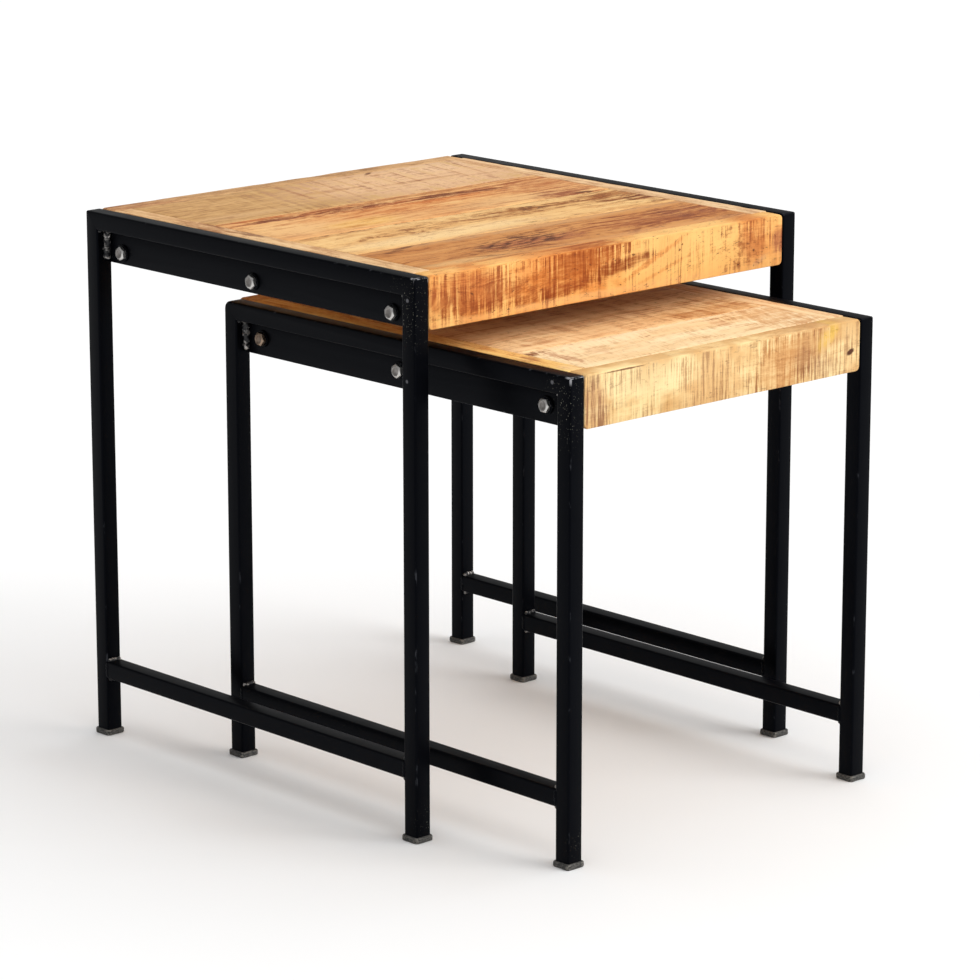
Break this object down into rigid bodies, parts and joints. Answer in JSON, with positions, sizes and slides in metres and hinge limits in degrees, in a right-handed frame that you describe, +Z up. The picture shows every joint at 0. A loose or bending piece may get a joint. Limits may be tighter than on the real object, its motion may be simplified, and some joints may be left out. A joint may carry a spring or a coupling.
{
  "type": "nesting tables",
  "caption": "Pair of nesting side tables: black square-tube side frames bolted to thick-edged rough mango wood tops, the smaller table sliding in under the larger.",
  "frame": {"origin": "on the floor, at the centre of the pair's outline as it stands, with the smaller table drawn part way out", "axes": "+Z up, -Y towards the front, where the smaller table is drawn out, +X to the right seen from the front"},
  "size_m": [0.474, 0.594, 0.5],
  "materials": {
    "black_paint": "satin black, worn at the corners",
    "mango_wood": "rough-sawn mango with a clear satin coat",
    "zinc_steel": "plain zinc-coated bolt steel",
    "grey_foot": "matt grey plastic"
  },
  "bodies": {
    "large_table": {"large_front_rim_board": "mango_wood", "large_left_flat_bar": "black_paint", "large_left_front_bolt": "zinc_steel", "large_left_front_foot": "grey_foot", "large_left_front_leg": "black_paint", "large_left_middle_bolt": "zinc_steel", "large_left_rear_bolt": "zinc_steel", "large_left_rear_foot": "grey_foot", "large_left_rear_leg": "black_paint", "large_left_rim_board": "mango_wood", "large_left_stretcher": "black_paint", "large_left_top_rail": "black_paint", "large_plank_1": "mango_wood", "large_plank_2": "mango_wood", "large_plank_3": "mango_wood", "large_plank_4": "mango_wood", "large_rear_rim_board": "mango_wood", "large_right_flat_bar": "black_paint", "large_right_front_bolt": "zinc_steel", "large_right_front_foot": "grey_foot", "large_right_front_leg": "black_paint", "large_right_middle_bolt": "zinc_steel", "large_right_rear_bolt": "zinc_steel", "large_right_rear_foot": "grey_foot", "large_right_rear_leg": "black_paint", "large_right_rim_board": "mango_wood", "large_right_stretcher": "black_paint", "large_right_top_rail": "black_paint"},
    "small_table": {"small_front_rim_board": "mango_wood", "small_left_flat_bar": "black_paint", "small_left_front_bolt": "zinc_steel", "small_left_front_foot": "grey_foot", "small_left_front_leg": "black_paint", "small_left_middle_bolt": "zinc_steel", "small_left_rear_bolt": "zinc_steel", "small_left_rear_foot": "grey_foot", "small_left_rear_leg": "black_paint", "small_left_rim_board": "mango_wood", "small_left_stretcher": "black_paint", "small_left_top_rail": "black_paint", "small_plank_1": "mango_wood", "small_plank_2": "mango_wood", "small_plank_3": "mango_wood", "small_plank_4": "mango_wood", "small_rear_rim_board": "mango_wood", "small_right_flat_bar": "black_paint", "small_right_front_bolt": "zinc_steel", "small_right_front_foot": "grey_foot", "small_right_front_leg": "black_paint", "small_right_middle_bolt": "zinc_steel", "small_right_rear_bolt": "zinc_steel", "small_right_rear_foot": "grey_foot", "small_right_rear_leg": "black_paint", "small_right_rim_board": "mango_wood", "small_right_stretcher": "black_paint", "small_right_top_rail": "black_paint"}
  },
  "joints": [
    {"name": "small_table_slide", "type": "slide", "parent": "large_table", "child": "small_table", "axis": [0, -1, 0], "range_m": [-0.14, 0.33]}
  ]
}
